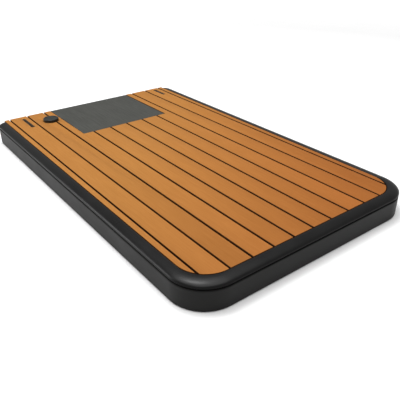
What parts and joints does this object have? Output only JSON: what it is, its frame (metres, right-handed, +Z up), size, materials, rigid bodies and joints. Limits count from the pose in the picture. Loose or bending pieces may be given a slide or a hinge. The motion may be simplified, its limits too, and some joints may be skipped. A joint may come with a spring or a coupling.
{
  "type": "kneeboard",
  "caption": "Flat rectangular kneeboard: planked foam deck with a kneeling pad, strap slots and a screw-in vent, in a moulded tub with a bullnose rim.",
  "frame": {"origin": "middle of the underside, on the surface that the board lies on", "axes": "+X across the board to the right as seen from behind the nose looking to the tail, +Y from the rounded nose to the square tail, +Z up through the deck"},
  "size_m": [0.576, 0.935, 0.0648],
  "materials": {
    "shell_black": "satin moulded polyethylene",
    "rim_black": "semi-gloss bumper moulding",
    "teak_foam": "matte closed-cell foam with a brushed teak grain",
    "mat_black": "matte closed-cell foam",
    "pad_charcoal": "matte closed-cell foam with a fine brushed grain",
    "core_foam": "rigid cellular foam",
    "composite_tube": "wound glass-fibre tube",
    "deck_panel": "pressed composite sheet",
    "stainless_steel": "plain stainless",
    "fitting_black": "satin glass-filled nylon",
    "cap_black": "satin glass-filled nylon",
    "seal_rubber": "matte rubber",
    "membrane_white": "matte breathable film"
  },
  "bodies": {
    "board": {"hull_shell": "shell_black", "rail_moulding": "rim_black", "foam_core": "core_foam", "stringer_left": "composite_tube", "stringer_right": "composite_tube", "deck_board": "deck_panel", "deck_screws": "stainless_steel", "deck_mat_base": "mat_black", "plank_01": "teak_foam", "plank_02": "teak_foam", "plank_03": "teak_foam", "plank_04": "teak_foam", "plank_05": "teak_foam", "plank_06": "teak_foam", "plank_07": "teak_foam", "plank_08": "teak_foam", "plank_09": "teak_foam", "plank_10": "teak_foam", "margin_strip_left": "teak_foam", "margin_strip_right": "teak_foam", "knee_pad": "pad_charcoal", "strap_slot_left": "fitting_black", "strap_slot_right": "fitting_black", "vent_body": "fitting_black", "vent_nut": "fitting_black"},
    "gasket": {"vent_gasket": "seal_rubber"},
    "cap": {"vent_cap": "cap_black", "vent_membrane": "membrane_white", "membrane_ring": "fitting_black"}
  },
  "joints": [
    {"name": "vent_gasket_lift", "type": "slide", "parent": "board", "child": "gasket", "axis": [0, 0, 1], "range_m": [0, 0.0075]},
    {"name": "vent_cap_turn", "type": "hinge", "parent": "gasket", "child": "cap", "pos_m": [-0.159, 0.3865, 0.057], "axis": [0, 0, 1], "range_deg": [0, 900]}
  ],
  "couplings": [
    {"joint": "vent_cap_turn", "follows": "vent_gasket_lift", "rad_per_m": 2094.4}
  ]
}
